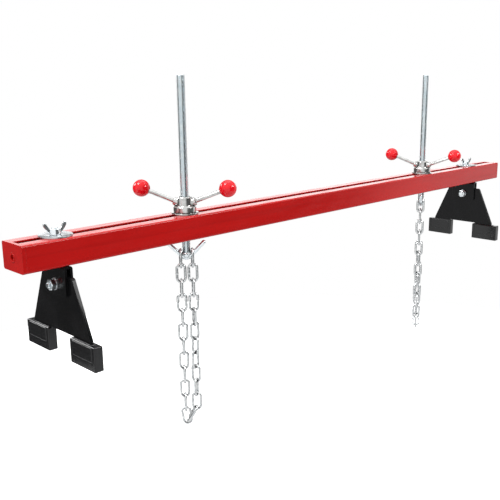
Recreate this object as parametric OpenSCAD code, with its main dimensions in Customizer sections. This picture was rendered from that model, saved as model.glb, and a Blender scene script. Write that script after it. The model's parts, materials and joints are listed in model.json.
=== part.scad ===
// Two-point support bar: a slotted red beam stands on two pivoting legs with rubber boots and
// carries two threaded lifting rods, each with a hand nut, a double hook and a doubled chain.
// +X runs along the beam, +Z is up. The origin is midway between the legs, in the plane of the
// boot soles. All sizes are in millimetres.

/* [Beam] */
// Length of the beam over its end plates
beam_length = 1500; // [1400:10:1700]
// Width over the webs of the two channels
beam_w = 64; // [60:1:72]
// Height of the channels
beam_h = 45; // [40:1:55]
// Sheet thickness of the channels
channel_t = 3; // [2:0.5:4]
// Width of the slot between the channels
slot_w = 18; // [17.5:0.5:20]
// Thickness of the end plates
end_plate_t = 6; // [4:1:10]
// Diameter of the hole in each end plate
end_hole_d = 10; // [6:1:12]

/* [Legs] */
// Height of the beam's underside above the soles
leg_height = 157; // [150:1:170]
// Place of the near leg along the beam
near_leg_x = -675; // [-685:1:-640]
// Place of the far leg along the beam
far_leg_x = 621; // [600:1:640]
// Thickness of the leg plate
plate_t = 6; // [5:1:8]
// Half width of the leg plate at its top
plate_top_half = 46; // [44:1:48]
// Half width of the leg plate above the boots
plate_low_half = 88; // [84:1:92]
// Length of one boot across the beam
boot_len = 72; // [68:1:76]
// Thickness of one boot along the beam
boot_t = 18.5; // [17:0.5:22]
// Height of one boot
boot_h = 42; // [40:1:44]
// Distance from the beam's centre plane to a boot's inner end
boot_inner_y = 34; // [32:1:36]
// Diameter of the pivot bolt
pivot_d = 10; // [8:1:12]
// Depth of the pivot below the beam's underside
pivot_drop = 33; // [31:1:34]

/* [Clamps] */
// Width of the saddle across the beam
saddle_w = 66; // [62:1:70]
// Height of the saddle from the beam down to the end of its ears
saddle_h = 50; // [48:1:54]
// Sheet thickness of the saddle
saddle_t = 4; // [3:0.5:5]
// Diameter of the clamp stud
stud_d = 10; // [8:1:12]
// Outer diameter of the washer under the wing nut
clamp_washer_d = 55; // [45:1:60]
// Span of the wing nut over its wings
wing_span = 38; // [34:1:44]
// Height of the wings above the washer
wing_h = 19; // [16:1:22]

/* [Lifting rods] */
// Place of the near rod along the beam
near_rod_x = -408; // [-430:1:-380]
// Place of the far rod along the beam
far_rod_x = 393; // [370:1:420]
// Outer diameter of the rod
rod_d = 16; // [14:1:16]
// Height of the rod's top above the beam's underside
rod_top = 295; // [250:5:320]
// Depth of the rod's lower end below the beam's underside
rod_drop = 30; // [29:1:31]
// Turn of the near hook about its rod
near_hook_turn = -35; // [-90:5:90]
// Turn of the far hook about its rod
far_hook_turn = 32; // [-90:1:90]

/* [Hand nuts] */
// Diameter of the hand nut's flange
flange_d = 42; // [38:1:46]
// Height of the hand nut
hand_nut_h = 29; // [27:1:32]
// Diameter of the lever rods
lever_d = 8; // [6:1:10]
// Rise of the levers above the horizontal
lever_rise = 21; // [15:1:25]
// Distance from the rod's axis to the knob's centre, measured level
knob_reach = 81; // [75:1:95]
// Diameter of the ball knobs
knob_d = 32; // [28:1:36]
// Turn of the near levers about the rod
near_lever_turn = -52; // [-90:1:90]
// Turn of the far levers about the rod
far_lever_turn = -70; // [-90:1:90]

/* [Chains] */
// Wire diameter of the links
wire_d = 5; // [4:0.5:5]
// Inner length of a link
link_inner = 29.3; // [28:0.1:31]
// Outer width of a link
link_w = 20.5; // [20:0.5:22]
// Distance from the rod's axis to each strand
strand_offset = 11.2; // [11:0.1:12]
// Twist added by each lower link of the second strand
strand_twist = 11.25; // [11.25:0.05:11.3]

/* [Hidden] */
$fn = 64;
GAP = 0.3;
CHAIN_LEVELS = 12;

// beam
underside = leg_height;
deck = underside + beam_h;
beam_corner_r = 3.5;
inner_corner_r = 1;
end_ring_d = end_hole_d + 5;
end_ring_h = 0.8;

// legs
plate_clearance = 0.5;
pivot_z = underside - pivot_drop;
pivot_bore_r = pivot_d / 2 + 0.08;
plate_top_z = underside - 17;
plate_corner_r = 6;
leg_shoulder_z = boot_h + 4;
arch_z = boot_h + 1;
sole_t = 7;
tab_inner_y = boot_inner_y + 6;
tab_outer_y = plate_low_half + 2;
boot_corner_r = 3;

// saddle and its fasteners
saddle_inner = plate_t + 2 * plate_clearance;
saddle_outer = saddle_inner + 2 * saddle_t;
saddle_bend_r = 5;
ear_corner_r = 4;
pivot_washer_t = 2;
pivot_washer_d = 20;
nut_flats = 17;
nut_h = 8;
bolt_head_h = 6.4;
bolt_end = 4;
HEX_RATIO = 2 / sqrt(3);
clamp_washer_t = 2.5;
wing_hub_d = 18;
wing_hub_h = 10;
wing_t = 3.5;
wing_turn = -12;
stud_above = clamp_washer_t + wing_hub_h + 2;

// hand nuts
thrust_washer_d = 50;
thrust_washer_t = 3;
nut_base = deck + thrust_washer_t;
flange_h = 12;
neck_d = 30;
neck_top_d = 27;
nut_bore_r = rod_d / 2 + 0.05;
lever_root = 12;
lever_axis_h = 13;
boss_d = 15;
boss_end = 22;
knob_socket = 13;
rod_chamfer = 1.5;

// hooks
hook_bar_d = 8;
hook_bend_r = 12;
hook_swell = 0.4;
arm_overlap = 1.5;
hook_bottom = -38.5;
hook_tip = 33;
HOOK_SLOPE = 45;
weld_r = rod_d / 2 + 1.5;
weld_foot_r = 7;
weld_h = 2.5;
arm_start = hook_bend_r * sin(HOOK_SLOPE);
arm_start_z = hook_bottom + hook_bend_r * (1 - cos(HOOK_SLOPE));
arm_len = (hook_tip - arm_start) / cos(HOOK_SLOPE);

// chains
link_r = (link_w - wire_d) / 2;
link_len = link_inner + wire_d;
link_reach = wire_d + GAP;
pitch = link_inner - GAP;
first_link_z = -22.4;
twist_from = 4;
// The two last links pass through each other and close a triangle below the strands.
last_base = sqrt(pow(2 * strand_offset, 2) + pow(link_reach, 2));
last_base_rise = atan(link_reach / (2 * strand_offset));
last_left = link_len - 2 * link_reach;
last_left_lean = 90 + last_base_rise - side_angle(last_left, last_base, link_len);
last_right_lean = 90 - last_base_rise - side_angle(link_len, last_base, last_left);

// Angle between sides a and b of a triangle, facing side c
function side_angle(a, b, c) = acos((a * a + b * b - c * c) / (2 * a * b));
// Unit vector at an angle
function turned(angle) = [cos(angle), sin(angle)];
// Height of a level's upper crown, measured from the beam's underside
function crown_z(level) = first_link_z - pitch * (level - 1);
// Links of odd levels stand across the strand plane, links of even levels lie in it
function level_turn(level) = (level % 2 == 1) ? 90 : 0;
function twist_at(level) = strand_twist * max(0, level - twist_from);
function level_name(level) = str(level < 10 ? "0" : "", level);
function chain_name(end, level) = str(end, "_chain_", level_name(level));

// ---------- shared shapes ----------

module round_rect(w, h, r) {
    square([w - 2 * r, h], center = true);
    square([w, h - 2 * r], center = true);
    for (sx = [-1, 1], sy = [-1, 1])
        translate([sx * (w / 2 - r), sy * (h / 2 - r)]) circle(r);
}

// Turns a profile drawn in (Y, Z) into a solid that runs along X
module along_x(length) {
    rotate([90, 0, 90]) linear_extrude(length, center = true) children();
}

module washer(outer_d, inner_d, t) {
    difference() {
        cylinder(h = t, d = outer_d);
        translate([0, 0, -1]) cylinder(h = t + 2, d = inner_d);
    }
}

module hex_prism(flats, h) {
    cylinder(h = h, d = flats * HEX_RATIO, $fn = 6);
}

// ---------- beam ----------

module channel_profile() {
    difference() {
        round_rect(beam_w, beam_h, beam_corner_r);
        round_rect(beam_w - 2 * channel_t, beam_h - 2 * channel_t, inner_corner_r);
        translate([-slot_w / 2, -beam_h]) square([beam_w, 2 * beam_h]);
    }
}

module channel(side) {
    color("firebrick")
        translate([0, 0, underside + beam_h / 2])
            rotate([0, 0, side < 0 ? 0 : 180])
                along_x(beam_length - 2 * end_plate_t) channel_profile();
}

module end_plate(side) {
    color("firebrick")
        translate([side * (beam_length - end_plate_t) / 2, 0, underside + beam_h / 2])
            difference() {
                union() {
                    along_x(end_plate_t) round_rect(beam_w, beam_h, beam_corner_r);
                    rotate([0, side * 90, 0]) cylinder(h = end_plate_t / 2 + end_ring_h, d = end_ring_d);
                }
                rotate([0, 90, 0]) cylinder(h = 4 * end_plate_t, d = end_hole_d, center = true);
            }
}

module front_channel() { channel(-1); }
module rear_channel() { channel(1); }
module near_end_plate() { end_plate(-1); }
module far_end_plate() { end_plate(1); }

// ---------- leg clamps ----------

// U section of the saddle in (X, Z), with its top at the origin
module saddle_profile() {
    difference() {
        union() {
            translate([-saddle_outer / 2, -saddle_h])
                square([saddle_outer, saddle_h - saddle_bend_r]);
            translate([-saddle_outer / 2 + saddle_bend_r, -saddle_h])
                square([saddle_outer - 2 * saddle_bend_r, saddle_h]);
            for (s = [-1, 1])
                translate([s * (saddle_outer / 2 - saddle_bend_r), -saddle_bend_r])
                    circle(saddle_bend_r);
        }
        translate([-saddle_inner / 2, -saddle_h - 1])
            square([saddle_inner, saddle_h + 1 - saddle_t]);
    }
}

module ear_outline() {
    translate([-saddle_w / 2, -saddle_h + ear_corner_r]) square([saddle_w, saddle_h]);
    translate([0, -saddle_h + 2 * ear_corner_r])
        round_rect(saddle_w, 4 * ear_corner_r, ear_corner_r);
}

module saddle(x) {
    color([0.12, 0.12, 0.13])
        translate([x, 0, underside])
            difference() {
                intersection() {
                    rotate([90, 0, 0]) linear_extrude(saddle_w, center = true) saddle_profile();
                    along_x(saddle_outer + 2) ear_outline();
                }
                translate([0, 0, -pivot_drop]) rotate([0, 90, 0])
                    cylinder(h = 2 * saddle_outer, d = pivot_d + 0.5, center = true);
                translate([0, 0, -2 * saddle_t]) cylinder(h = 4 * saddle_t, d = stud_d);
            }
}

// Stud that is welded into the saddle and passes up through both slots
module clamp_stud(x) {
    color("silver")
        translate([x, 0, underside - saddle_t]) {
            cylinder(h = saddle_t + beam_h + stud_above - 1, d = stud_d);
            translate([0, 0, saddle_t + beam_h + stud_above - 1])
                cylinder(h = 1, d1 = stud_d, d2 = stud_d - 2);
        }
}

module clamp_washer(x) {
    color("gainsboro")
        translate([x, 0, deck]) washer(clamp_washer_d, stud_d + 1, clamp_washer_t);
}

// One wing in (X, Z): a sloping arm with a round tip
module wing_profile() {
    tip_r = 5;
    tip = [wing_span / 2 - tip_r, wing_h - tip_r];
    polygon([[4, 1.5], [wing_hub_d / 2 + 1, 1.5], [tip[0] + tip_r, tip[1]], [tip[0] - tip_r, tip[1]]]);
    translate(tip) circle(tip_r);
}

module wing_nut(x) {
    color("silver")
        translate([x, 0, deck + clamp_washer_t])
            rotate([0, 0, wing_turn])
                difference() {
                    union() {
                        cylinder(h = wing_hub_h, d1 = wing_hub_d, d2 = wing_hub_d - 3);
                        for (side = [0, 180])
                            rotate([90, 0, side]) linear_extrude(wing_t, center = true) wing_profile();
                    }
                    translate([0, 0, -1]) cylinder(h = wing_h + 2, d = stud_d + 0.1);
                }
}

// The bolt's head is on the far side of the saddle and its nut on the near side
module pivot_bolt(x) {
    head_x = saddle_outer / 2 + pivot_washer_t;
    shank = 2 * head_x + nut_h + bolt_end;
    color("silver")
        translate([x + head_x, 0, pivot_z]) rotate([0, -90, 0]) {
            translate([0, 0, -bolt_head_h]) hex_prism(nut_flats, bolt_head_h);
            cylinder(h = shank - 1, d = pivot_d);
            translate([0, 0, shank - 1]) cylinder(h = 1, d1 = pivot_d, d2 = pivot_d - 2);
        }
}

module pivot_nut(x) {
    color("silver")
        translate([x - saddle_outer / 2 - pivot_washer_t, 0, pivot_z]) rotate([0, -90, 0])
            difference() {
                intersection() {
                    hex_prism(nut_flats, nut_h);
                    cylinder(h = nut_h, d1 = nut_flats + 2.4, d2 = nut_flats);
                }
                translate([0, 0, -1]) cylinder(h = nut_h + 2, d = pivot_d);
            }
}

module pivot_washers(x) {
    color("gainsboro")
        for (side = [-1, 1])
            translate([x + side * saddle_outer / 2, 0, pivot_z]) rotate([0, side * 90, 0])
                washer(pivot_washer_d, pivot_d, pivot_washer_t);
}

// ---------- legs ----------

// Outline of the leg plate's right half in (Y, Z), from its round top corner down to the arch
leg_slope = atan((plate_low_half - plate_top_half) / (plate_top_z - leg_shoulder_z));
leg_corner_y = plate_top_half - plate_corner_r * (1 - sin(leg_slope)) / cos(leg_slope);
leg_corner = [leg_corner_y, plate_top_z - plate_corner_r];
leg_half = concat(
    [for (step = [0:6]) leg_corner + plate_corner_r * turned(90 - step * (90 - leg_slope) / 6)],
    [[plate_low_half, leg_shoulder_z], [tab_outer_y, sole_t], [tab_inner_y, sole_t]],
    [[tab_inner_y, arch_z]]
);

module leg_outline() {
    last = len(leg_half) - 1;
    polygon(concat(leg_half, [for (i = [last:-1:0]) [-leg_half[i][0], leg_half[i][1]]]));
}

module leg_plate(x) {
    color([0.1, 0.1, 0.11])
        translate([x, 0, 0])
            difference() {
                along_x(plate_t) leg_outline();
                translate([0, 0, pivot_z]) rotate([0, 90, 0])
                    cylinder(h = 2 * plate_t, r = pivot_bore_r, center = true);
            }
}

module boot(x, side) {
    centre_y = side * (boot_inner_y + boot_len / 2);
    difference() {
        translate([x, centre_y, 0])
            linear_extrude(boot_h) round_rect(boot_t, boot_len, boot_corner_r);
        translate([x, 0, 0]) along_x(plate_t) leg_outline();
    }
}

module boots(x) {
    color([0.2, 0.2, 0.21])
        for (side = [-1, 1]) boot(x, side);
}

// ---------- lifting rods ----------

module thrust_washer(x) {
    color("gainsboro")
        translate([x, 0, deck]) washer(thrust_washer_d, rod_d + 1, thrust_washer_t);
}

// Places a lever-shaped child along its sloping axis, starting at the rod's axis
module on_lever_axis(x, turn) {
    for (side = [0, 180])
        translate([x, 0, nut_base + lever_axis_h]) rotate([0, 0, turn + side])
            rotate([0, 90 - lever_rise, 0]) children();
}

module hand_nut(x, turn) {
    color("silver")
        difference() {
            union() {
                translate([x, 0, nut_base]) rotate_extrude()
                    polygon([
                        [0, 0], [flange_d / 2 - 1, 0], [flange_d / 2, 1], [flange_d / 2, flange_h - 1.5],
                        [flange_d / 2 - 1.5, flange_h], [neck_d / 2, flange_h],
                        [neck_top_d / 2, hand_nut_h - 1], [neck_top_d / 2 - 1, hand_nut_h], [0, hand_nut_h]
                    ]);
                on_lever_axis(x, turn) cylinder(h = boss_end, d = boss_d);
            }
            translate([x, 0, nut_base - 1]) cylinder(h = hand_nut_h + 10, r = nut_bore_r);
            on_lever_axis(x, turn) translate([0, 0, lever_root]) cylinder(h = boss_end, d = lever_d);
        }
}

module levers(x, turn) {
    lever_end = knob_reach / cos(lever_rise);
    color("gainsboro")
        on_lever_axis(x, turn) translate([0, 0, lever_root])
            cylinder(h = lever_end - knob_d / 2 + knob_socket - lever_root, d = lever_d);
}

module knobs(x, turn) {
    color("red")
        on_lever_axis(x, turn) translate([0, 0, knob_reach / cos(lever_rise)])
            difference() {
                sphere(d = knob_d);
                translate([0, 0, -knob_d]) cylinder(h = knob_d / 2 + knob_socket, d = lever_d);
            }
}

module lift_rod(x) {
    color("lightsteelblue")
        translate([x, 0, underside - rod_drop]) {
            cylinder(h = rod_drop + rod_top - rod_chamfer, d = rod_d);
            translate([0, 0, rod_drop + rod_top - rod_chamfer])
                cylinder(h = rod_chamfer, d1 = rod_d, d2 = rod_d - 2 * rod_chamfer);
        }
}

// A round bar bent into a wide V, drawn in (X, Z) below the beam, with a weld round the rod.
// The bend is forged a little thicker than the arms, which run into it.
module hook_shape() {
    translate([0, 0, hook_bottom + hook_bend_r]) rotate([90, 0, 0])
        rotate([0, 0, -90 - HOOK_SLOPE])
            rotate_extrude(angle = 2 * HOOK_SLOPE)
                translate([hook_bend_r, 0]) circle(d = hook_bar_d + hook_swell);
    for (side = [0, 180])
        rotate([0, 0, side]) translate([arm_start, 0, arm_start_z]) rotate([0, 90 - HOOK_SLOPE, 0]) {
            translate([0, 0, -arm_overlap]) cylinder(h = arm_len + arm_overlap, d = hook_bar_d);
            translate([0, 0, arm_len]) sphere(d = hook_bar_d);
        }
    translate([0, 0, -rod_drop]) rotate_extrude()
        polygon([
            [0, hook_bottom + rod_drop], [weld_foot_r, hook_bottom + rod_drop], [weld_r, -1], [weld_r, 0],
            [rod_d / 2, weld_h], [rod_d / 2, 0], [0, 0]
        ]);
}

module hook(x, turn) {
    color("lightsteelblue")
        translate([x, 0, underside]) rotate([0, 0, turn]) hook_shape();
}

// ---------- chains ----------

// One link in (X, Z), hanging from the centre of its upper crown
module link() {
    straight = link_len - 2 * link_r;
    for (end = [0, 1])
        translate([0, 0, -link_r - end * straight]) rotate([90, end * 180, 0])
            rotate_extrude(angle = 180) translate([link_r, 0]) circle(d = wire_d);
    for (side = [-1, 1])
        translate([side * link_r, 0, -link_r - straight]) cylinder(h = straight, d = wire_d);
}

// The two last links: the first hangs from one strand, the second leans in and passes through it
module last_links() {
    knee = crown_z(CHAIN_LEVELS - 1) - link_len;
    translate([-strand_offset, 0, knee])
        rotate([0, -last_left_lean, 0]) translate([0, 0, link_reach]) link();
    translate([strand_offset, 0, knee + link_reach])
        rotate([0, last_right_lean, 0]) rotate([0, 0, 90]) link();
}

module level_links(level) {
    if (level == CHAIN_LEVELS) {
        last_links();
    } else {
        translate([-strand_offset, 0, crown_z(level)]) rotate([0, 0, level_turn(level)]) link();
        translate([strand_offset, 0, crown_z(level)])
            rotate([0, 0, level_turn(level) + twist_at(level)]) link();
    }
}

module chain_level(x, turn, level) {
    color("lightgray")
        translate([x, 0, underside]) rotate([0, 0, turn]) level_links(level);
}

// ---------- what is drawn ----------

front_channel();
rear_channel();
near_end_plate();
far_end_plate();
for (leg = [["near", near_leg_x], ["far", far_leg_x]]) {
    saddle(leg[1]);
    clamp_stud(leg[1]);
    clamp_washer(leg[1]);
    wing_nut(leg[1]);
    leg_plate(leg[1]);
    boots(leg[1]);
    pivot_bolt(leg[1]);
    pivot_nut(leg[1]);
    pivot_washers(leg[1]);
}
for (rod = [
    ["near", near_rod_x, near_lever_turn, near_hook_turn],
    ["far", far_rod_x, far_lever_turn, far_hook_turn]
]) {
    thrust_washer(rod[1]);
    hand_nut(rod[1], rod[2]);
    levers(rod[1], rod[2]);
    knobs(rod[1], rod[2]);
    lift_rod(rod[1]);
    hook(rod[1], rod[3]);
    for (level = [1:CHAIN_LEVELS])
        chain_level(rod[1], rod[3], level);
}
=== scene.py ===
"""Looks of the two-point support bar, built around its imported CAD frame.

Everything is in metres and in the CAD frame: +X runs along the beam, +Z is up and the boot
soles stand at Z = 0. Small parts are drawn in millimetres round their own axis and are then
placed where the CAD nodes are.
"""

import json
import math

import bmesh
import bpy
import numpy as np
from mathutils import Matrix, Vector, noise

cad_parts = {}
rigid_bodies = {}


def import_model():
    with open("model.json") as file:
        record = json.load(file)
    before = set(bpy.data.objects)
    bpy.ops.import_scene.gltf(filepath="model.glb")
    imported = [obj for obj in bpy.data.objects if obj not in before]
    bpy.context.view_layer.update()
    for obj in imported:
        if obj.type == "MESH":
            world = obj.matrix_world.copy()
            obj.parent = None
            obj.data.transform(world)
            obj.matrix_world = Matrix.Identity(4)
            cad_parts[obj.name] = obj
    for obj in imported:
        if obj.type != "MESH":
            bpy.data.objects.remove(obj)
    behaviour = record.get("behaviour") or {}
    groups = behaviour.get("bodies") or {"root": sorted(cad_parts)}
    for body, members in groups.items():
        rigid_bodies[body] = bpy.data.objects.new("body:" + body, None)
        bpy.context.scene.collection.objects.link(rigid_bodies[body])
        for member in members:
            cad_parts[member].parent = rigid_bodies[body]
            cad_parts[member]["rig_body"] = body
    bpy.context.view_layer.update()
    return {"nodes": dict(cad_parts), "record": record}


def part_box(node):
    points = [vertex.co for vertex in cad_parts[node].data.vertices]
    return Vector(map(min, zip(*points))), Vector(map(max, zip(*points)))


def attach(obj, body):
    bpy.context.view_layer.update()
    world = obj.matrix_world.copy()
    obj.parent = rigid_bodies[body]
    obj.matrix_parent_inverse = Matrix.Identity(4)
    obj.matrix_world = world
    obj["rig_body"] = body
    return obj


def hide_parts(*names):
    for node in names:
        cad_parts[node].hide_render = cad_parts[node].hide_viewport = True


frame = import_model()

NODES = frame["nodes"]
SLOT = {part["node"]: part["material_slot"] for part in frame["record"]["subparts"]}
ENDS = ("near", "far")
MM = 0.001
TO_METRES = Matrix.Scale(MM, 4)
SHARP = math.radians(38)
scene = bpy.context.scene


def add_node(tree, kind, inputs=(), **settings):
    """A shader node with its settings; each input is a value or the socket that feeds it"""
    node = tree.nodes.new(kind)
    for key, value in settings.items():
        setattr(node, key, value)
    for key, value in dict(inputs).items():
        if isinstance(value, bpy.types.NodeSocket):
            tree.links.new(value, node.inputs[key])
        else:
            node.inputs[key].default_value = value
    return node


def as_object(name, bm):
    """A new object in the scene with this mesh; the bmesh is used up"""
    mesh = bpy.data.meshes.new(name)
    bm.to_mesh(mesh)
    bm.free()
    made = bpy.data.objects.new(name, mesh)
    scene.collection.objects.link(made)
    return made


# ---------- the camera ----------

CAMERA_PLACE = Vector((-1.2305, -1.0088, 0.4315))
CAMERA_YAW = math.radians(44.446)
CAMERA_DIP = math.radians(13.044)
CAMERA_ROLL = math.radians(-0.733)
CAMERA_LENS = 51.15


def make_camera():
    data = bpy.data.cameras.new("camera")
    data.sensor_width = 36
    data.lens = CAMERA_LENS
    data.clip_end = 60
    camera = bpy.data.objects.new("camera", data)
    scene.collection.objects.link(camera)
    level = math.cos(CAMERA_DIP)
    ahead = Vector(
        (math.sin(CAMERA_YAW) * level, math.cos(CAMERA_YAW) * level, -math.sin(CAMERA_DIP))
    )
    right = Vector((math.cos(CAMERA_YAW), -math.sin(CAMERA_YAW), 0))
    up = right.cross(ahead)
    turn = Matrix.Rotation(-CAMERA_ROLL, 3, ahead)
    axes = Matrix((turn @ right, turn @ up, -ahead)).transposed().to_4x4()
    camera.matrix_world = Matrix.Translation(CAMERA_PLACE) @ axes
    scene.camera = camera
    return ahead


# ---------- materials ----------


class Surface:
    """A Principled material whose colour, roughness and relief come from nodes."""

    def __init__(self, name, **sockets):
        self.material = bpy.data.materials.new(name)
        self.material.use_nodes = True
        self.tree = self.material.node_tree
        self.shader = self.tree.nodes["Principled BSDF"]
        for socket, value in sockets.items():
            self.shader.inputs[socket.replace("_", " ")].default_value = value
        self.place = self.add("ShaderNodeTexCoord").outputs["Object"]
        self.relief = None

    def add(self, kind, inputs=(), **settings):
        return add_node(self.tree, kind, inputs, **settings)

    def noise(self, scale, detail, stretch=(1, 1, 1)):
        """Fractal noise from 0 to 1, scale features to a metre"""
        moved = self.add("ShaderNodeMapping", {"Vector": self.place, "Scale": stretch}).outputs[0]
        inputs = {"Vector": moved, "Scale": scale, "Detail": detail}
        return self.add("ShaderNodeTexNoise", inputs).outputs[0]

    def spots(self, scale):
        """Distance to the nearest of scattered points, for dimples"""
        inputs = {"Vector": self.place, "Scale": scale}
        return self.add("ShaderNodeTexVoronoi", inputs).outputs["Distance"]

    def ramp(self, value, low, high, to_low=0.0, to_high=1.0):
        """value from low..high, mapped smoothly to to_low..to_high"""
        return self.add(
            "ShaderNodeMapRange",
            {0: value, 1: low, 2: high, 3: to_low, 4: to_high},
            interpolation_type="SMOOTHSTEP",
        ).outputs[0]

    def maths(self, operation, a, b=0.0):
        return self.add("ShaderNodeMath", {0: a, 1: b}, operation=operation).outputs[0]

    def blend(self, share, first, second):
        """One colour towards another by share"""
        inputs = {0: share}
        for socket, colour in ((6, first), (7, second)):
            inputs[socket] = (*colour, 1.0) if isinstance(colour, tuple) else colour
        return self.add("ShaderNodeMix", inputs, data_type="RGBA", clamp_factor=True).outputs[2]

    def edges(self, radius, low=0.02, high=0.3):
        """1 along the sharp edges of the shape, 0 on its faces; low and high bound the bend"""
        rounded = self.add("ShaderNodeBevel", {"Radius": radius}, samples=4).outputs[0]
        plain = self.add("ShaderNodeNewGeometry").outputs["Normal"]
        same = self.add("ShaderNodeVectorMath", {0: rounded, 1: plain}, operation="DOT_PRODUCT")
        return self.ramp(self.maths("SUBTRACT", 1.0, same.outputs["Value"]), low, high)

    def painted_shade(self, colour, reach, dark, share=1.0):
        """Painted shade: darkens a colour by ambient occlusion in grooves and where parts touch, reach
        metres around
        """
        open_air = self.add("ShaderNodeAmbientOcclusion", {"Distance": reach}, samples=6).outputs["AO"]
        return self.blend(self.ramp(open_air, 0.25, 0.95, share, 0.0), colour, dark)

    def bump(self, height, depth):
        """Adds relief, depth metres deep, on top of what is there"""
        inputs = {"Height": height, "Strength": 1.0, "Distance": depth}
        if self.relief is not None:
            inputs["Normal"] = self.relief
        self.relief = self.add("ShaderNodeBump", inputs).outputs[0]

    def finish(self, colour, roughness):
        self.tree.links.new(colour, self.shader.inputs["Base Color"])
        self.tree.links.new(roughness, self.shader.inputs["Roughness"])
        if self.relief is not None:
            self.tree.links.new(self.relief, self.shader.inputs["Normal"])
        return self.material


def red_paint():
    """Gloss enamel on pressed steel: faint flow marks along the beam, orange peel, and a painted
    highlight that makes the edges paler
    """
    gloss = {"IOR": 1.45, "Specular_IOR_Level": 0.36}
    look = Surface("red_paint", Coat_Weight=0.08, Coat_Roughness=0.06, **gloss)
    cloud = look.noise(7, 2, (0.35, 1, 1))
    streaks = look.noise(60, 3, (0.03, 1, 1.6))
    colour = look.blend(look.ramp(cloud, 0.35, 0.65), (0.40, 0.0046, 0.0040), (0.46, 0.0062, 0.0054))
    colour = look.blend(look.ramp(streaks, 0.45, 0.75, 0, 0.45), colour, (0.32, 0.0042, 0.0036))
    # painted highlight: the sharp edges are mixed towards a pale red
    colour = look.blend(look.maths("MULTIPLY", look.edges(1.2 * MM), 0.25), colour, (0.72, 0.06, 0.05))
    fine = look.noise(90, 4, (0.2, 1, 1))
    look.bump(look.noise(260, 2), 0.02 * MM)
    look.bump(look.noise(22, 1, (0.10, 1, 1)), 0.06 * MM)
    return look.finish(colour, look.ramp(fine, 0.3, 0.7, 0.15, 0.24))


def black_paint():
    """Satin powder coat: fine grain, slightly uneven black and a thin grey painted highlight along the
    edges
    """
    look = Surface("black_paint", IOR=1.48, Specular_IOR_Level=0.22)
    cloud = look.noise(30, 4)
    colour = look.blend(look.ramp(cloud, 0.35, 0.75), (0.0022, 0.0022, 0.0026), (0.0045, 0.0045, 0.005))
    # painted highlight: the sharp edges are mixed towards grey
    colour = look.blend(look.maths("MULTIPLY", look.edges(1.2 * MM), 0.5), colour, (0.045, 0.045, 0.047))
    look.bump(look.noise(1300, 3), 0.01 * MM)
    look.bump(look.noise(160, 2), 0.03 * MM)
    patches = look.ramp(cloud, 0.3, 0.75, 0.16, 0.24)
    grain = look.ramp(look.noise(600, 3), 0.4, 0.8, 0, 0.05)
    return look.finish(colour, look.maths("ADD", patches, grain))


def boot_rubber():
    """Moulded rubber: polished, slightly mottled, with a finely pebbled skin and a patchy painted
    highlight along its edges
    """
    look = Surface("boot_rubber", IOR=1.5, Specular_IOR_Level=0.5)
    cloud = look.noise(55, 5)
    patchy = look.ramp(look.noise(120, 3), 0.3, 0.6, 0.3, 1)
    # painted highlight: patchy grey along the rounded edges
    edge_highlight = look.maths("MULTIPLY", look.edges(1.6 * MM, 0.01, 0.25), patchy)
    colour = look.blend(look.ramp(cloud, 0.3, 0.7), (0.0025, 0.0025, 0.003), (0.005, 0.005, 0.0056))
    colour = look.blend(look.maths("MULTIPLY", edge_highlight, 0.5), colour, (0.04, 0.04, 0.043))
    look.bump(look.noise(900, 2), 0.02 * MM)
    look.bump(look.noise(110, 3), 0.05 * MM)
    return look.finish(colour, look.ramp(look.noise(240, 4), 0.3, 0.75, 0.10, 0.17))


def zinc_plate():
    """Bright zinc: bluish, with cloudy passivation and a fine grain; duller on stamped washers"""
    look = Surface("zinc_plate", Metallic=1.0)
    cloud = look.noise(70, 4)
    colour = look.blend(look.ramp(cloud, 0.3, 0.75), (0.80, 0.86, 0.89), (0.88, 0.92, 0.93))
    colour = look.blend(look.ramp(look.noise(420, 2), 0.64, 0.8, 0, 0.35), colour, (0.52, 0.56, 0.58))
    # painted shade in the thread roots and where parts touch, from ambient occlusion
    colour = look.painted_shade(colour, 1.6 * MM, (0.22, 0.24, 0.25), 0.28)
    dull = look.add("ShaderNodeAttribute", attribute_name="dull").outputs["Fac"]
    colour = look.blend(look.maths("MULTIPLY", dull, 0.6), colour, (0.36, 0.355, 0.365))
    look.bump(look.noise(700, 2), 0.02 * MM)
    rough = look.ramp(look.noise(180, 3), 0.3, 0.7, 0.10, 0.20)
    return look.finish(colour, look.maths("ADD", rough, look.maths("MULTIPLY", dull, 0.15)))


def chain_zinc():
    """Zinc on welded wire: tumbled bright, with small dents, dull spots and painted shade where the
    links touch
    """
    look = Surface("chain_zinc", Metallic=1.0)
    cloud = look.noise(160, 4)
    colour = look.blend(look.ramp(cloud, 0.3, 0.7), (0.58, 0.60, 0.61), (0.82, 0.83, 0.83))
    colour = look.blend(look.ramp(look.noise(380, 3), 0.58, 0.72, 0, 0.75), colour, (0.26, 0.26, 0.265))
    # painted shade: nearly black where the links touch, from ambient occlusion
    colour = look.painted_shade(colour, 6 * MM, (0.02, 0.02, 0.022))
    look.bump(look.ramp(look.spots(420), 0.0, 0.6), 0.08 * MM)
    look.bump(look.noise(200, 2), 0.12 * MM)
    return look.finish(colour, look.ramp(cloud, 0.3, 0.75, 0.08, 0.20))


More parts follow.
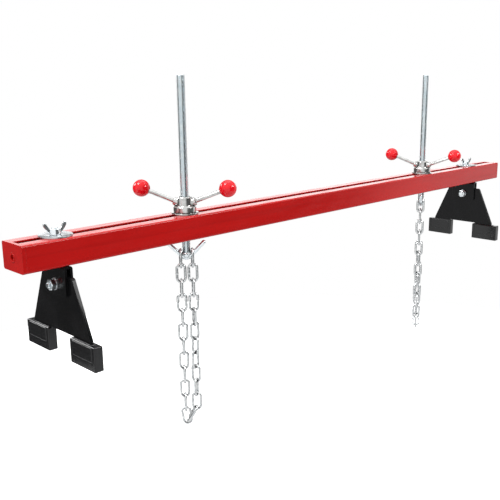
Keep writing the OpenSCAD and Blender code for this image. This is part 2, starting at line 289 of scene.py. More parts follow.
def turned_steel():
    """Machined and plated steel: tool rings along each part's own axis"""
    look = Surface("turned_steel", Metallic=1.0)
    along = look.add("ShaderNodeAttribute", attribute_name="along").outputs["Fac"]
    inputs = {"W": along, "Scale": 1500.0, "Detail": 2.0}
    rings = look.add("ShaderNodeTexNoise", inputs, noise_dimensions="1D").outputs[0]
    cloud = look.noise(110, 4)
    colour = look.blend(look.ramp(cloud, 0.3, 0.7), (0.46, 0.46, 0.45), (0.66, 0.66, 0.65))
    colour = look.blend(look.ramp(look.noise(300, 3), 0.6, 0.8, 0, 0.5), colour, (0.30, 0.29, 0.28))
    # painted shade in hollows and where parts meet, from ambient occlusion
    colour = look.painted_shade(colour, 4 * MM, (0.10, 0.095, 0.09), 0.9)
    look.bump(rings, 0.02 * MM)
    look.bump(look.noise(260, 3), 0.04 * MM)
    return look.finish(colour, look.ramp(rings, 0.3, 0.7, 0.14, 0.26))


def knob_plastic():
    """Polished red plastic with a faint flow pattern"""
    look = Surface("knob_plastic", IOR=1.47, Specular_IOR_Level=0.45)
    cloud = look.noise(45, 3)
    colour = look.blend(look.ramp(cloud, 0.3, 0.7), (0.66, 0.004, 0.010), (0.74, 0.007, 0.015))
    look.bump(look.noise(110, 2), 0.01 * MM)
    return look.finish(colour, look.ramp(look.noise(240, 3), 0.3, 0.7, 0.05, 0.10))


MATERIAL = {
    "red_paint": red_paint(),
    "black_paint": black_paint(),
    "boot_rubber": boot_rubber(),
    "zinc_plate": zinc_plate(),
    "chain_zinc": chain_zinc(),
    "turned_steel": turned_steel(),
    "knob_plastic": knob_plastic(),
}


# ---------- shapes, drawn in millimetres ----------

CORNER_STEPS = 4
TINY = 1e-6
SAME_POINT = 1e-4
THREAD_DEPTH = 0.61
HEXAGON_SAMPLES = 72
HEXAGON_FACE = 0.95
CONE_SLOPE = math.tan(math.radians(30))
BORE_CHAMFER = 0.8
DISH_DEPTH = 0.3
DISH_FLOOR = 0.2
DISH_RIM = 0.25


def on_circle(radius, angle):
    return radius * math.cos(angle), radius * math.sin(angle)


def circle_points(radius, count):
    return [on_circle(radius, math.tau * i / count) for i in range(count)]


def eased(points, radius):
    """Rounds the inner corners of an open profile"""
    out = [points[0]]
    for before, here, after in zip(points, points[1:], points[2:]):
        start, corner, end = Vector(before), Vector(here), Vector(after)
        reach = min(radius, (start - corner).length * 0.49, (end - corner).length * 0.49)
        start = corner + (start - corner).normalized() * reach
        end = corner + (end - corner).normalized() * reach
        for i in range(CORNER_STEPS + 1):
            t = i / CORNER_STEPS
            out.append(tuple(start * (1 - t) ** 2 + corner * 2 * t * (1 - t) + end * t**2))
    out.append(points[-1])
    return out


def skin(bm, rings, closed=False):
    """Faces between rings of vertices; a ring of one vertex is a pole"""
    pairs = list(zip(rings, rings[1:])) + ([(rings[-1], rings[0])] if closed else [])
    for a, b in pairs:
        n = max(len(a), len(b))
        for i in range(n):
            j = (i + 1) % n
            if len(a) == 1:
                bm.faces.new((a[0], b[i], b[j]))
            elif len(b) == 1:
                bm.faces.new((a[i], b[0], a[j]))
            else:
                bm.faces.new((a[i], b[i], b[j], a[j]))


def lathe(bm, profile, segments, closed=False):
    """Turns (radius, height) points about Z; closed joins the last point to the first"""
    layer = bm.verts.layers.float.get("along") or bm.verts.layers.float.new("along")
    rings = []
    for radius, height in profile:
        if radius < TINY:
            ring = [bm.verts.new((0, 0, height))]
        else:
            ring = [bm.verts.new((x, y, height)) for x, y in circle_points(radius, segments)]
        for v in ring:
            v[layer] = (height + radius) * MM
        rings.append(ring)
    skin(bm, rings, closed)


def sweep(bm, path, radii, sides, closed=False):
    """A round bar along a path in the XZ plane, with a radius for each point"""
    across = Vector((0, 1, 0))
    layer = bm.verts.layers.float.get("along") or bm.verts.layers.float.new("along")
    rings = []
    run = 0.0
    last = len(path) - 1
    for i, (point, radius) in enumerate(zip(path, radii)):
        before = path[i - 1] if closed or i > 0 else path[0]
        after = path[(i + 1) % len(path)] if closed or i < last else path[last]
        tangent = (after - before).normalized()
        side = across.cross(tangent)
        run += (point - before).length
        if radius < TINY:
            ring = [bm.verts.new(point)]
        else:
            places = [point + side * x + across * y for x, y in circle_points(radius, sides)]
            ring = [bm.verts.new(place) for place in places]
        for v in ring:
            v[layer] = run * MM
        rings.append(ring)
    skin(bm, rings, closed)


def thread(bm, radius, pitch, low, high, chamfer, sides):
    """An outside thread from low to high along Z, with chamfered flat ends"""
    root = radius - THREAD_DEPTH * pitch
    # the outline over one pitch: share of the pitch, radius
    shape = ((0.0, root), (0.12, root), (0.42, radius), (0.56, radius), (0.86, root))
    turns = math.ceil((high - low) / pitch) + 2
    rows = []
    for n in range(turns * sides + 1):
        angle = math.tau * n / sides
        row = []
        for phase, r in shape:
            z = low + pitch * (n / sides + phase - 1.5)
            z = min(max(z, low), high)
            r = min(r, radius - chamfer + (high - z), radius - chamfer + (z - low))
            row.append(bm.verts.new((*on_circle(r, angle), z)))
        rows.append(row)
    for n in range(turns * sides):
        for k in range(len(shape) - 1):
            bm.faces.new((rows[n][k], rows[n + 1][k], rows[n + 1][k + 1], rows[n][k + 1]))
        if n + sides + 1 <= turns * sides:
            here, over = rows[n : n + 2], rows[n + sides : n + sides + 2]
            bm.faces.new((here[0][-1], here[1][-1], over[1][0], over[0][0]))
    bmesh.ops.remove_doubles(bm, verts=bm.verts, dist=SAME_POINT)
    loose = [v for v in bm.verts if not v.link_faces]
    bmesh.ops.delete(bm, geom=loose, context="VERTS")
    bmesh.ops.holes_fill(bm, edges=[e for e in bm.edges if e.is_boundary], sides=0)


def box_ring(width, length, corner):
    """Points of a rounded rectangle, counter-clockwise"""
    points = []
    for quarter, (sx, sy) in enumerate(((1, 1), (-1, 1), (-1, -1), (1, -1))):
        centre_x = sx * (width / 2 - corner)
        centre_y = sy * (length / 2 - corner)
        for i in range(CORNER_STEPS + 1):
            x, y = on_circle(corner, math.pi / 2 * (quarter + i / CORNER_STEPS))
            points.append((centre_x + x, centre_y + y))
    return points


def loft(levels, place=Matrix.Identity(4)):
    """A capped stack of rounded boxes along Z: (z, width, length, corner) of each"""
    bm = bmesh.new()
    rings = []
    for z, width, length, corner in levels:
        outline = box_ring(width, length, corner)
        rings.append([bm.verts.new(place @ Vector((x, y, z))) for x, y in outline])
    skin(bm, rings)
    bm.faces.new(list(reversed(rings[0])))
    bm.faces.new(rings[-1])
    return bm


def hexagon(bm, flats, low, high, chamfered_top, bore=0):
    """A hexagon along Z, chamfered by 30 degree cones: a nut, or a dished head if it has no bore"""
    angles = [math.tau * i / HEXAGON_SAMPLES for i in range(HEXAGON_SAMPLES)]
    sixth = math.pi / 3
    spread = [flats / 2 / math.cos((a + sixth / 2) % sixth - sixth / 2) for a in angles]
    face = flats / 2 * HEXAGON_FACE

    def ring(radii, heights):
        return [bm.verts.new((*on_circle(r, a), z)) for r, z, a in zip(radii, heights, angles)]

    def level_ring(radius, height):
        return ring([radius] * HEXAGON_SAMPLES, [height] * HEXAGON_SAMPLES)

    slope_top = CONE_SLOPE if chamfered_top else 0.0
    outside = [
        level_ring(face, low),
        ring(spread, [low + (r - face) * CONE_SLOPE for r in spread]),
        ring(spread, [high - (r - face) * slope_top for r in spread]),
        level_ring(face, high),
    ]
    if bore:
        mouth = bore + BORE_CHAMFER
        first = [level_ring(bore, low + BORE_CHAMFER), level_ring(mouth, low)]
        last = [level_ring(mouth, high), level_ring(bore, high - BORE_CHAMFER)]
    else:
        dish = low + DISH_DEPTH
        first = [[bm.verts.new((0, 0, dish))]]
        first += [level_ring(flats * DISH_FLOOR, dish), level_ring(flats * DISH_RIM, low)]
        last = [[bm.verts.new((0, 0, high))]]
    skin(bm, first + outside + last, closed=bool(bore))


def fused(bm, voxel, rounds):
    """The union of a mesh's shells as one soft cast skin"""
    cast = as_object("cast", bm)
    remesh = cast.modifiers.new("remesh", "REMESH")
    remesh.mode = "VOXEL"
    remesh.voxel_size = voxel
    soften = cast.modifiers.new("soften", "SMOOTH")
    soften.iterations = rounds
    return evaluated(cast)


def united(first, *others):
    """The exact union of separate closed meshes"""
    objects = []
    for bm in (first, *others):
        bmesh.ops.recalc_face_normals(bm, faces=bm.faces)
        objects.append(as_object("part", bm))
    for other in objects[1:]:
        join = objects[0].modifiers.new("join", "BOOLEAN")
        join.operation = "UNION"
        join.solver = "EXACT"
        join.object = other
    return evaluated(*objects)


def evaluated(obj, *helpers):
    """The mesh of obj with its modifiers as a bmesh; obj and its helpers are removed"""
    bpy.context.view_layer.update()
    depsgraph = bpy.context.evaluated_depsgraph_get()
    bm = bmesh.new()
    bm.from_mesh(obj.evaluated_get(depsgraph).to_mesh())
    for used in (obj, *helpers):
        mesh = used.data
        bpy.data.objects.remove(used)
        bpy.data.meshes.remove(mesh)
    return bm


def pour(out, bm, matrices):
    """Adds bm to out, once for each matrix; bm is used up"""
    source = bpy.data.meshes.new("source")
    bm.to_mesh(source)
    bm.free()
    for matrix in matrices:
        start = len(out.verts)
        out.from_mesh(source)
        out.verts.ensure_lookup_table()
        bmesh.ops.transform(out, matrix=matrix, verts=out.verts[start:])
    bpy.data.meshes.remove(source)


def copies(bm, matrices):
    """The mesh once for each matrix, in one mesh"""
    out = bmesh.new()
    pour(out, bm, matrices)
    return out


def add_piece(name, bm, node, place, sharp=SHARP):
    """Makes a mesh drawn in millimetres the piece that stands for a CAD node"""
    bmesh.ops.transform(bm, matrix=place @ TO_METRES, verts=bm.verts)
    bmesh.ops.recalc_face_normals(bm, faces=bm.faces)
    piece = as_object(name, bm)
    mesh = piece.data
    mesh.polygons.foreach_set("use_smooth", [True] * len(mesh.polygons))
    mesh.set_sharp_from_angle(angle=sharp)
    mesh.materials.append(MATERIAL[SLOT[node]])
    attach(piece, NODES[node]["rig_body"])
    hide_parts(node)
    return piece


def middle(node):
    low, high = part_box(node)
    return (low + high) / 2


def at(x, y, z):
    return Matrix.Translation((x, y, z))


def about_z(degrees):
    return Matrix.Rotation(math.radians(degrees), 4, "Z")


# ---------- CAD nodes that keep their shape ----------

SHEET_EDGE = 0.7 * MM
SADDLE_EDGE = 0.8 * MM


def weigh_normals(piece):
    """Flat faces shade flat, and only the rounded edges bend the light"""
    shade = piece.modifiers.new("shade", "WEIGHTED_NORMAL")
    shade.weight = 100
    return shade


def soften_edges(node, width):
    """Small rounded edges and even shading on a pressed or cut part"""
    piece = NODES[node]
    weld = piece.modifiers.new("weld", "WELD")
    weld.merge_threshold = TINY
    bevel = piece.modifiers.new("edges", "BEVEL")
    bevel.width = width
    bevel.segments = 3
    bevel.limit_method = "ANGLE"
    bevel.angle_limit = math.radians(40)
    weigh_normals(piece)
    piece.data.materials.clear()
    piece.data.materials.append(MATERIAL[SLOT[node]])


def keep_cad_parts():
    for node in ("front_channel", "rear_channel", "near_end_plate", "far_end_plate"):
        soften_edges(node, SHEET_EDGE)
    for end in ENDS:
        soften_edges(f"{end}_saddle", SADDLE_EDGE)
        soften_edges(f"{end}_leg_plate", SHEET_EDGE)


# ---------- clamps and pivots ----------

STUD_PITCH = 1.5
STUD_CHAMFER = 1.0
CLAMP_HOLE = 11
BOLT_DIAMETER = 10
BOLT_HOLE = 10.2
BOLT_BURIED = 0.5
NUT_FLATS = 17
NUT_BORE = 4.6
NUT_TURN = 8
PIVOT_WASHER = 2.0
BURR = 0.25
ROLLED = 0.6
ROLLED_IN = 0.1
WING_TURN = -12
WING_HALF = 1.75


def stamped_washer(outer, inner, thickness):
    """A punched washer: rolled over on top, a sharper burr below, and duller than other zinc"""
    rim, hole = outer / 2, inner / 2
    below_top = thickness - BURR
    profile = [
        (hole, BURR), (hole + BURR, 0), (rim - BURR, 0), (rim, BURR),
        (rim, thickness - ROLLED), (rim - ROLLED_IN, below_top), (rim - ROLLED, thickness),
        (hole + ROLLED, thickness), (hole + ROLLED_IN, below_top), (hole, thickness - ROLLED),
    ]
    bm = bmesh.new()
    lathe(bm, profile, 96, closed=True)
    dull = bm.verts.layers.float.new("dull")
    for v in bm.verts:
        v[dull] = 1.0
    return bm


def wing_nut_shape():
    """A cast hub with two raised wings, drawn from its seat up"""
    hub = [(5.3, 0), (9, 0), (9, 1.2), (7.6, 9.2), (6.9, 10), (5.3, 10)]
    wing = [
        (4.8, 1.2), (9.0, 1.2), (11.8, 4.4), (15.4, 9.2), (18.2, 13.6), (18.9, 16.6), (17.8, 18.7),
        (15.2, 19.0), (13.2, 17.3), (11.2, 13.0), (8.8, 9.4), (6.4, 8.0), (4.8, 7.4),
    ]
    bm = bmesh.new()
    lathe(bm, hub, 48, closed=True)
    for turn in (0, 180):
        spin = about_z(turn)
        front = [bm.verts.new(spin @ Vector((x, -WING_HALF, z))) for x, z in wing]
        back = [bm.verts.new(spin @ Vector((x, WING_HALF, z))) for x, z in wing]
        skin(bm, [front, back])
        bm.faces.new(front)
        bm.faces.new(list(reversed(back)))
    bmesh.ops.recalc_face_normals(bm, faces=bm.faces)
    return fused(bm, voxel=0.42, rounds=4)


def pivot_bolt_shape(head_height, shank):
    """Dished hexagon head below Z = 0, threaded shank above"""
    bm = bmesh.new()
    thread(bm, BOLT_DIAMETER / 2, STUD_PITCH, -BOLT_BURIED, shank, STUD_CHAMFER, 32)
    hexagon(bm, NUT_FLATS, -head_height, 0, chamfered_top=False)
    return bm


def build_clamp(end):
    name = f"{end}_clamp_washer"
    low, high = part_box(name)
    washer = stamped_washer((high.x - low.x) / MM, CLAMP_HOLE, (high.z - low.z) / MM)
    add_piece(f"{end}_plate_washer", washer, name, at(middle(name).x, 0, low.z))

    name = f"{end}_clamp_stud"
    low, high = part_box(name)
    radius = (high.x - low.x) / 2 / MM
    stud = bmesh.new()
    thread(stud, radius, STUD_PITCH, 0, (high.z - low.z) / MM, STUD_CHAMFER, 32)
    add_piece(f"{end}_stud", stud, name, at(middle(name).x, 0, low.z))

    name = f"{end}_wing_nut"
    place = at(middle(name).x, 0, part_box(name)[0].z) @ about_z(WING_TURN)
    add_piece(f"{end}_wing_nut_cast", wing_nut_shape(), name, place, sharp=math.radians(70))


def build_pivot(end):
    """The bolt runs along X, its head at the +X side of the saddle and its nut at the other"""
    to_near = Matrix.Rotation(math.radians(-90), 4, "Y")
    bolt_low, bolt_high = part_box(f"{end}_pivot_bolt")
    washer_low, washer_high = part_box(f"{end}_pivot_washers")
    nut_low, nut_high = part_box(f"{end}_pivot_nut")
    axis_z = middle(f"{end}_pivot_bolt").z
    seat = washer_high.x
    shank = (seat - bolt_low.x) / MM
    bolt = pivot_bolt_shape((bolt_high.x - seat) / MM, shank)
    add_piece(f"{end}_hinge_bolt", bolt, f"{end}_pivot_bolt", at(seat, 0, axis_z) @ to_near)

    nut = bmesh.new()
    hexagon(nut, NUT_FLATS, 0, (nut_high.x - nut_low.x) / MM, chamfered_top=True, bore=NUT_BORE)
    place = at(nut_high.x, 0, axis_z) @ to_near @ about_z(NUT_TURN)
    add_piece(f"{end}_hinge_nut", nut, f"{end}_pivot_nut", place)

    washer = stamped_washer((washer_high.z - washer_low.z) / MM, BOLT_HOLE, PIVOT_WASHER)
    nut_side = (washer_low.x - nut_high.x) / MM + PIVOT_WASHER
    head_side = (washer_high.x - nut_high.x) / MM - PIVOT_WASHER
    places = [at(nut_side, 0, 0) @ to_near, at(head_side, 0, 0) @ to_near.inverted()]
    washers = copies(washer, places)
    add_piece(f"{end}_hinge_washers", washers, f"{end}_pivot_washers", at(nut_high.x, 0, axis_z))


# ---------- boots ----------

BOOT_LENGTH = 72.0
PANEL_RISE = 1.1
PANEL_HEIGHT = 24.5
PANEL_LENGTH = 58.0
PANEL_MIDDLE = 27.2
LIP_WIDTH = 10.4
LIP_LENGTH = 57.0
LIP_SHIFT = -5.0


def boot_shape(thickness, height):
    """A moulded boot with a raised panel on both faces; its lip holds a tab of the leg plate"""
    wide = thickness - 2 * PANEL_RISE
    reach = thickness / 2
    # each row: place along the loft, how much narrower and shorter it is there, corner radius
    core_rows = (
        (0, 1.6, 1.0), (0.25, 0.7, 1.4), (0.8, 0, 1.7), (height - 3.2, 0, 1.7),
        (height - 1.9, 0.6, 1.5), (height - 1.1, 1.9, 1.1), (height - 0.8, 3.6, 0.8),
    )
    panel_rows = (
        (reach - 5, 0, 2.6), (reach - PANEL_RISE, 0, 2.6), (reach - 0.5, 0.5, 2.5),
        (reach - 0.14, 1.4, 2.2), (reach, 2.6, 1.8),
    )
    lip_levels = (
        (height - 6, LIP_WIDTH, LIP_LENGTH, 2.2), (height - 0.9, LIP_WIDTH, LIP_LENGTH, 2.2),
        (height - 0.25, LIP_WIDTH - 0.6, LIP_LENGTH - 0.5, 2.0),
        (height, LIP_WIDTH - 1.5, LIP_LENGTH - 1.4, 1.6),
    )
    core = loft([(z, wide - less, BOOT_LENGTH - less, r) for z, less, r in core_rows])
    lip = loft(lip_levels, at(0, LIP_SHIFT, 0))
    panel_levels = [(z, PANEL_HEIGHT - less, PANEL_LENGTH - less, r) for z, less, r in panel_rows]
    facing = [Matrix.Rotation(math.radians(90 * side), 4, "Y") for side in (-1, 1)]
    panels = [loft(panel_levels, at(0, 0, PANEL_MIDDLE) @ turn) for turn in facing]
    return united(core, lip, *panels)


def build_boots(end):
    name = f"{end}_boots"
    low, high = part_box(name)
    shape = boot_shape((high.x - low.x) / MM, (high.z - low.z) / MM)
    out = high.y / MM - BOOT_LENGTH / 2
    both = copies(shape, [at(0, out, 0), at(0, -out, 0) @ about_z(180)])
    place = at(middle(name).x, 0, low.z)
    piece = add_piece(f"{end}_rubber_boots", both, name, place, sharp=math.radians(50))
    weigh_normals(piece).keep_sharp = True


# ---------- lifting rods and hand nuts ----------

ROD_PITCH = 2.0
ROD_CHAMFER = 1.5
ROD_HOLE = 17
HAND_NUT_HEIGHT = 29.0
LEVER_RISE = math.radians(21)
LEVER_TURN = {"near": -52, "far": -70}
LEVER_RADIUS = 4.0
LEVER_ROOT = 12.0
LEVER_IN_KNOB = 13.0
KNOB_REACH = 81.0
KNOB_RADIUS = 16.0
KNOB_COLLAR = 6.2
KNOB_BORE = 4.05
KNOB_BORE_END = -4.0


def lever_places(turn, height):
    """Frames at the rod's axis, one along each lever"""
    tilt = Matrix.Rotation(math.pi / 2 - LEVER_RISE, 4, "Y")
    return [at(0, 0, height) @ about_z(turn + side) @ tilt for side in (0, 180)]


def hand_nut_shape(levers):
    """A forged nut: round flange, tapered neck and two raised bosses, run together by fillets"""
    top = HAND_NUT_HEIGHT
    profile = [
        (8.9, 0), (20.2, 0), (21, 0.8), (21, 10.4), (19.8, 12), (15.4, 12.2), (14.6, 14),
        (13.7, top - 1.4), (12.6, top), (10.2, top), (8.9, top - 1.3),
    ]
    bm = bmesh.new()
    lathe(bm, profile, 96, closed=True)
    bmesh.ops.recalc_face_normals(bm, faces=bm.faces)
    boss = bmesh.new()
    lathe(boss, [(0, 8.5), (7.5, 8.5), (7.5, 20.9), (6.6, 22), (0, 22)], 48)
    bmesh.ops.recalc_face_normals(boss, faces=boss.faces)
    pour(bm, boss, levers)
    return fused(bm, voxel=0.45, rounds=3)


def lever_shape(tip):
    """A plain round bar from the nut's boss into the knob"""
    corner = LEVER_RADIUS - 0.6
    profile = [
        (0, LEVER_ROOT), (LEVER_RADIUS, LEVER_ROOT), (LEVER_RADIUS, tip - 0.6), (corner, tip), (0, tip),
    ]
    bm = bmesh.new()
    lathe(bm, eased(profile, 0.3), 40)
    return bm


def knob_shape():
    """A ball round Z = 0 with a short flat collar below and a blind hole for the lever"""
    turn = math.pi / 2 + math.acos(KNOB_COLLAR / KNOB_RADIUS)
    arc = [on_circle(KNOB_RADIUS, math.pi / 2 - turn * i / 40) for i in range(1, 40)]
    flat = KNOB_RADIUS * math.sin(math.pi / 2 - turn)
    foot = flat - 0.5
    collar = [(KNOB_COLLAR, flat - 0.15), (KNOB_COLLAR - 0.5, foot), (KNOB_BORE + 0.25, foot)]
    bore = [(KNOB_BORE, flat), (KNOB_BORE, KNOB_BORE_END), (0, KNOB_BORE_END)]
    bm = bmesh.new()
    lathe(bm, [(0, KNOB_RADIUS)] + arc + collar + bore, 72)
    return bm


def build_hand_nut(end):
    """The levers' axes cross the rod's axis at a height that puts the balls where the CAD has them"""
    name = f"{end}_hand_nut"
    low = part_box(name)[0]
    x = middle(f"{end}_lift_rod").x
    reach = KNOB_REACH / math.cos(LEVER_RISE)
    ball_height = (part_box(f"{end}_knobs")[0].z - low.z) / MM + KNOB_RADIUS
    levers = lever_places(LEVER_TURN[end], ball_height - reach * math.sin(LEVER_RISE))
    place = at(x, 0, low.z)
    add_piece(f"{end}_forged_nut", hand_nut_shape(levers), name, place, sharp=math.radians(60))

    bars = copies(lever_shape(reach - KNOB_RADIUS + LEVER_IN_KNOB), levers)
    add_piece(f"{end}_lever_bars", bars, f"{end}_levers", place)

    balls = copies(knob_shape(), [lever @ at(0, 0, reach) for lever in levers])
    add_piece(f"{end}_ball_knobs", balls, f"{end}_knobs", place, sharp=math.radians(50))

    name = f"{end}_thrust_washer"
    low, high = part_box(name)
    washer = stamped_washer((high.x - low.x) / MM, ROD_HOLE, (high.z - low.z) / MM)
    add_piece(f"{end}_slide_washer", washer, name, at(x, 0, low.z))


def build_rod(end):
    name = f"{end}_lift_rod"
    low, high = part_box(name)
    radius = (high.x - low.x) / 2 / MM
    bm = bmesh.new()
    thread(bm, radius, ROD_PITCH, 0, (high.z - low.z) / MM, ROD_CHAMFER, 36)
    add_piece(f"{end}_threaded_rod", bm, name, at(middle(name).x, 0, low.z), sharp=math.radians(60))


# ---------- hooks ----------

HOOK_TURN = {"near": -35, "far": 32}
HOOK_BAR = 4.0
HOOK_BEND = 12.0
HOOK_SWELL = 4.2
HOOK_TIP = 33.0
HOOK_RISE = math.radians(45)
BEND_STEPS = 14
ARM_STEPS = 10
CAP_STEPS = 6
BEADS = 9
BEAD_SLANT = 1.1
BEAD_HEIGHT = 0.22
LUMP_HEIGHT = 0.35
LUMP_SCALE = 0.3
WELD_SUNK = 0.15
WELD_CORE = 3


def hook_bar_shape(bottom):
    """A round bar bent to a wide V in the XZ plane, swollen at the bend and with round ends"""

    def in_bend(angle):
        x, down = HOOK_BEND * math.sin(angle), HOOK_BEND * math.cos(angle)
        return Vector((x, 0, bottom + HOOK_BEND - down))

    start = in_bend(HOOK_RISE)
    along = Vector((math.cos(HOOK_RISE), 0, math.sin(HOOK_RISE)))
    length = (HOOK_TIP - start.x) / math.cos(HOOK_RISE)
    right = [(start + along * length * i / ARM_STEPS, HOOK_BAR) for i in range(1, ARM_STEPS + 1)]
    tip = right[-1][0]
    for i in range(1, CAP_STEPS):
        radius, ahead = on_circle(HOOK_BAR, math.pi / 2 * i / CAP_STEPS)
        right.append((tip + along * ahead, radius))
    right.append((tip + along * HOOK_BAR, 0.0))
    left = [(Vector((-point.x, 0, point.z)), radius) for point, radius in reversed(right)]
    angles = [HOOK_RISE * (2 * i / BEND_STEPS - 1) for i in range(BEND_STEPS + 1)]
    path, radii = zip(*left, *((in_bend(angle), HOOK_SWELL) for angle in angles), *right)
    bm = bmesh.new()
    sweep(bm, path, radii, 24)
    return bm


def weld_shape(bottom, rod_end):
    """The weld between the hook and the rod's end: a lumpy cone with slanting beads"""
    profile = [
        (0, bottom), (6.0, bottom + 0.3), (8.9, rod_end - 2.4),
        (9.3, rod_end - 0.2), (8.2, rod_end + 2.3), (0, rod_end + 2.5),
    ]
    weld = bmesh.new()
    lathe(weld, eased(profile, 1.6), 72)
    for v in weld.verts:
        spread = math.hypot(v.co.x, v.co.y)
        if spread > WELD_CORE:
            beads = BEAD_HEIGHT * math.sin(BEADS * math.atan2(v.co.y, v.co.x) + v.co.z * BEAD_SLANT)
            lumps = LUMP_HEIGHT * noise.noise(v.co * LUMP_SCALE)
            grow = 1 + (beads + lumps - WELD_SUNK) / spread
            v.co.x *= grow
            v.co.y *= grow
    return weld


def build_hook(end):
    """Drawn with heights from the beam's underside"""
    name = f"{end}_hook"
    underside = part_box("front_channel")[0].z
    rod_end = (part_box(f"{end}_lift_rod")[0].z - underside) / MM
    bottom = (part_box(name)[0].z - underside) / MM + HOOK_SWELL
    shape = united(hook_bar_shape(bottom), weld_shape(bottom, rod_end))
    place = at(middle(f"{end}_lift_rod").x, 0, underside) @ about_z(HOOK_TURN[end])
    add_piece(f"{end}_double_hook", shape, name, place, sharp=math.radians(50))


# ---------- chains ----------

CHAIN_LEVELS = 12
WIRE = 2.5
LINK_BEND = 7.75
LINK_STRAIGHT = 18.8
ROUND_STEPS = 18
STRAIGHT_STEPS = 14
WELD_SWELLING = 0.30
WELD_PLACE = 0.6
WELD_REACH = 1.5
WIRE_WOBBLE = 0.05
WOBBLE_SCALE = 0.16
NOISE_APART = 3.7
FIRST_NUMBER = {"near": 0, "far": 40}


def link_shape(number):
    """One welded link in (X, Z) round its centre; its number makes its wire a little uneven"""
    path = []
    swelling = []
    for sign in (1, -1):
        for i in range(ROUND_STEPS):
            x, z = on_circle(LINK_BEND, math.pi * i / ROUND_STEPS)
            path.append(Vector((sign * x, 0, sign * (LINK_STRAIGHT / 2 + z))))
            swelling.append(0.0)
        for i in range(STRAIGHT_STEPS):
            z = sign * LINK_STRAIGHT * (0.5 - i / STRAIGHT_STEPS)
            path.append(Vector((-sign * LINK_BEND, 0, z)))
            weld = WELD_SWELLING * math.exp(-(((z - WELD_PLACE) / WELD_REACH) ** 2))
            swelling.append(weld if sign > 0 else 0.0)
    elsewhere = Vector((number * NOISE_APART, 0, 0))
    radii = [
        WIRE + swollen + WIRE_WOBBLE * noise.noise(point * WOBBLE_SCALE + elsewhere)
        for point, swollen in zip(path, swelling)
    ]
    bm = bmesh.new()
    sweep(bm, path, radii, 16, closed=True)
    return bm


def shells(bm):
    """The faces of each connected shell of a mesh"""
    seen = set()
    for seed in bm.faces:
        if seed in seen:
            continue
        seen.add(seed)
        stack = [seed]
        shell = []
        while stack:
            face = stack.pop()
            shell.append(face)
            for other in (other for edge in face.edges for other in edge.link_faces):
                if other not in seen:
                    seen.add(other)
                    stack.append(other)
        yield shell


def own_frame(shell):
    """A link's centre with its axes as X (across), Y (through its eye) and Z (along it, upwards)"""
    triangles = np.array([[tuple(v.co) for v in face.verts] for face in shell])
    a, b, c = triangles[:, 0], triangles[:, 1], triangles[:, 2]
    total = a + b + c
    area = np.linalg.norm(np.cross(b - a, c - a), axis=1) / 2
    centre = (total / 3 * area[:, None]).sum(0) / area.sum()
    moments = sum(np.einsum("n,ni,nj->ij", area, p, p) for p in (a, b, c, total)) / 12
    axes = np.linalg.eigh(moments / area.sum() - np.outer(centre, centre))[1]
    along = Vector(axes[:, 2]) * (1 if axes[2, 2] > 0 else -1)
    through = Vector(axes[:, 0]) * (1 if axes[0, 0] > 0 else -1)
    turn = Matrix((through.cross(along), through, along)).transposed().to_4x4()
    return Matrix.Translation(Vector(centre)) @ turn


def link_places(node):
    """The frames of the links of a CAD node, sorted by where they hang"""
    bm = bmesh.new()
    bm.from_mesh(NODES[node].data)
    bmesh.ops.remove_doubles(bm, verts=bm.verts, dist=TINY)
    bmesh.ops.triangulate(bm, faces=bm.faces)
    found = [own_frame(shell) for shell in shells(bm)]
    bm.free()
    return sorted(found, key=lambda m: (round(m.translation.x, 5), round(m.translation.y, 5)))


def build_chain(end):
    for level in range(1, CHAIN_LEVELS + 1):
        node = f"{end}_chain_{level:02d}"
        out = bmesh.new()
        for strand, place in enumerate(link_places(node)):
            link = link_shape(FIRST_NUMBER[end] + level * 2 + strand)
            pour(out, link, [TO_METRES.inverted() @ place @ TO_METRES])
        add_piece(f"{end}_links_{level:02d}", out, node, Matrix.Identity(4), sharp=math.radians(80))


# ---------- room ----------

FLOOR_Z = -0.62
TABLE_RADIUS = 1.9
FLOOR_GLOW = 0.62
AIM = Vector((0, 0, 0.15))

# smooth steps over a ray's direction: from, to, value before, value after
LEFT_WALL = (-0.30, -0.05, 0.95, 0.0)
RIGHT_WALL = (-0.95, -0.82, 0.95, 0.0)
RIGHT_PANEL_START = (0.10, 0.24, 0.0, 1.0)
RIGHT_PANEL_END = (0.55, 0.68, 0.95, 0.0)
RIGHT_SIDE = (-0.12, 0.12, 0.0, 1.0)
BACKDROP = (0.62, 0.82, 0.0, 1.9)
BACKDROP_FOOT = (-0.01, 0.05, 0.0, 1.0)
BACKDROP_TOP = (0.225, 0.262, 1.0, 0.0)
OVERHEAD = (0.45, 0.75, 0.0, 1.0)
DARK = 0.13
CEILING = 1.3


def build_floor():
    """A round pale table; past its edge the studio is just as pale to the camera"""
    bm = bmesh.new()
    bmesh.ops.create_circle(bm, cap_ends=True, radius=TABLE_RADIUS, segments=96)
    floor = as_object("floor", bm)
    floor.location = (0, 0, FLOOR_Z)
    look = Surface("floor", Specular_IOR_Level=0.1, Emission_Color=(1, 1, 1, 1))
    seen = look.add("ShaderNodeLightPath").outputs["Is Camera Ray"]
    pale = look.blend(look.noise(3, 2), (0.86, 0.86, 0.86), (0.88, 0.88, 0.88))
    colour = look.blend(seen, (0.54, 0.54, 0.545), pale)
    glow = look.maths("MULTIPLY", seen, FLOOR_GLOW)
    look.tree.links.new(glow, look.shader.inputs["Emission Strength"])
    floor.data.materials.append(look.finish(colour, look.ramp(look.noise(9, 2), 0.3, 0.7, 0.7, 0.8)))


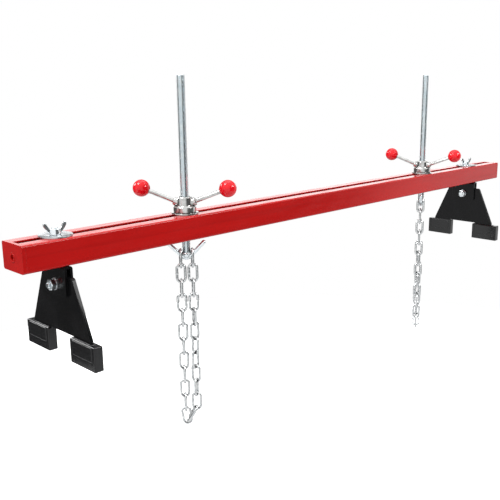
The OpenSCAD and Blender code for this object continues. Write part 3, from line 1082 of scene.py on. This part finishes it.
def softbox(name, place, width, height, radiance):
    """A rectangular light that faces the object; the camera doesn't see it"""
    data = bpy.data.lights.new(name, "AREA")
    data.shape = "RECTANGLE"
    data.size = width
    data.size_y = height
    data.energy = math.pi * width * height * radiance
    light = bpy.data.objects.new(name, data)
    light.location = place
    light.rotation_euler = (AIM - Vector(place)).to_track_quat("-Z", "Y").to_euler()
    light.visible_camera = False
    scene.collection.objects.link(light)


def build_sky(ahead):
    """A light tent: bright walls at both sides, a backdrop low behind and a ceiling, else dark"""
    world = bpy.data.worlds.new("studio")
    scene.world = world
    world.use_nodes = True
    tree = world.node_tree
    tree.nodes.clear()

    def add(kind, inputs=(), output=0, **settings):
        return add_node(tree, kind, inputs, **settings).outputs[output]

    def along(direction):
        """How far the level part of the ray points along a direction, -1 to 1"""
        return add("ShaderNodeVectorMath", {0: level, 1: direction}, "Value", operation="DOT_PRODUCT")

    def step(value, low, high, before, after):
        inputs = {0: value, 1: low, 2: high, 3: before, 4: after}
        return add("ShaderNodeMapRange", inputs, interpolation_type="SMOOTHSTEP")

    def times(a, b):
        return add("ShaderNodeMath", {0: a, 1: b}, operation="MULTIPLY")

    def plus(a, b):
        return add("ShaderNodeMath", {0: a, 1: b}, operation="ADD")

    def mixed(share, first, second):
        """first towards second by share"""
        rest = add("ShaderNodeMath", {0: 1.0, 1: share}, operation="SUBTRACT")
        return plus(times(first, rest), times(second, share))

    ray = add("ShaderNodeTexCoord", (), "Generated")
    level = add("ShaderNodeVectorMath", {0: ray, 1: (1, 1, 0)}, operation="MULTIPLY")
    level = add("ShaderNodeVectorMath", {0: level}, operation="NORMALIZE")
    height = add("ShaderNodeSeparateXYZ", {0: ray}, "Z")
    flat = Vector((ahead.x, ahead.y, 0)).normalized()
    forward = along(flat)
    rightward = along(Vector((flat.y, -flat.x, 0)))

    left = step(forward, *LEFT_WALL)
    panel = times(step(forward, *RIGHT_PANEL_START), step(forward, *RIGHT_PANEL_END))
    right = plus(step(forward, *RIGHT_WALL), panel)
    walls = mixed(step(rightward, *RIGHT_SIDE), left, right)
    back = times(step(forward, *BACKDROP), step(height, *BACKDROP_FOOT))
    back = times(back, step(height, *BACKDROP_TOP))
    glow = mixed(step(height, *OVERHEAD), plus(plus(walls, DARK), back), CEILING)

    room = add("ShaderNodeBackground", {"Color": (0.99, 1, 1, 1), "Strength": glow})
    white = add("ShaderNodeBackground", {"Color": (1, 1, 1, 1), "Strength": 1.0})
    seen = add("ShaderNodeLightPath", (), "Is Camera Ray")
    mix = add("ShaderNodeMixShader", {0: seen, 1: room, 2: white})
    add_node(tree, "ShaderNodeOutputWorld", {0: mix})


def build_lights():
    softbox("box_top", (0.0, 0.3, 2.3), 2.6, 1.2, 1.2)
    softbox("window_left", (-1.45, 0.3, 1.95), 0.75, 0.6, 16.0)
    softbox("window_right", (0.85, -1.83, 1.32), 1.3, 0.6, 11.0)
    softbox("strip_back", (-1.43, 2.2, 1.35), 1.1, 0.5, 14.0)


# ---------- the whole part in its studio ----------

ahead = make_camera()
keep_cad_parts()
for end in ENDS:
    build_clamp(end)
    build_pivot(end)
    build_boots(end)
    build_hand_nut(end)
    build_rod(end)
    build_hook(end)
    build_chain(end)
build_floor()
build_sky(ahead)
build_lights()
scene.view_settings.view_transform = "Standard"
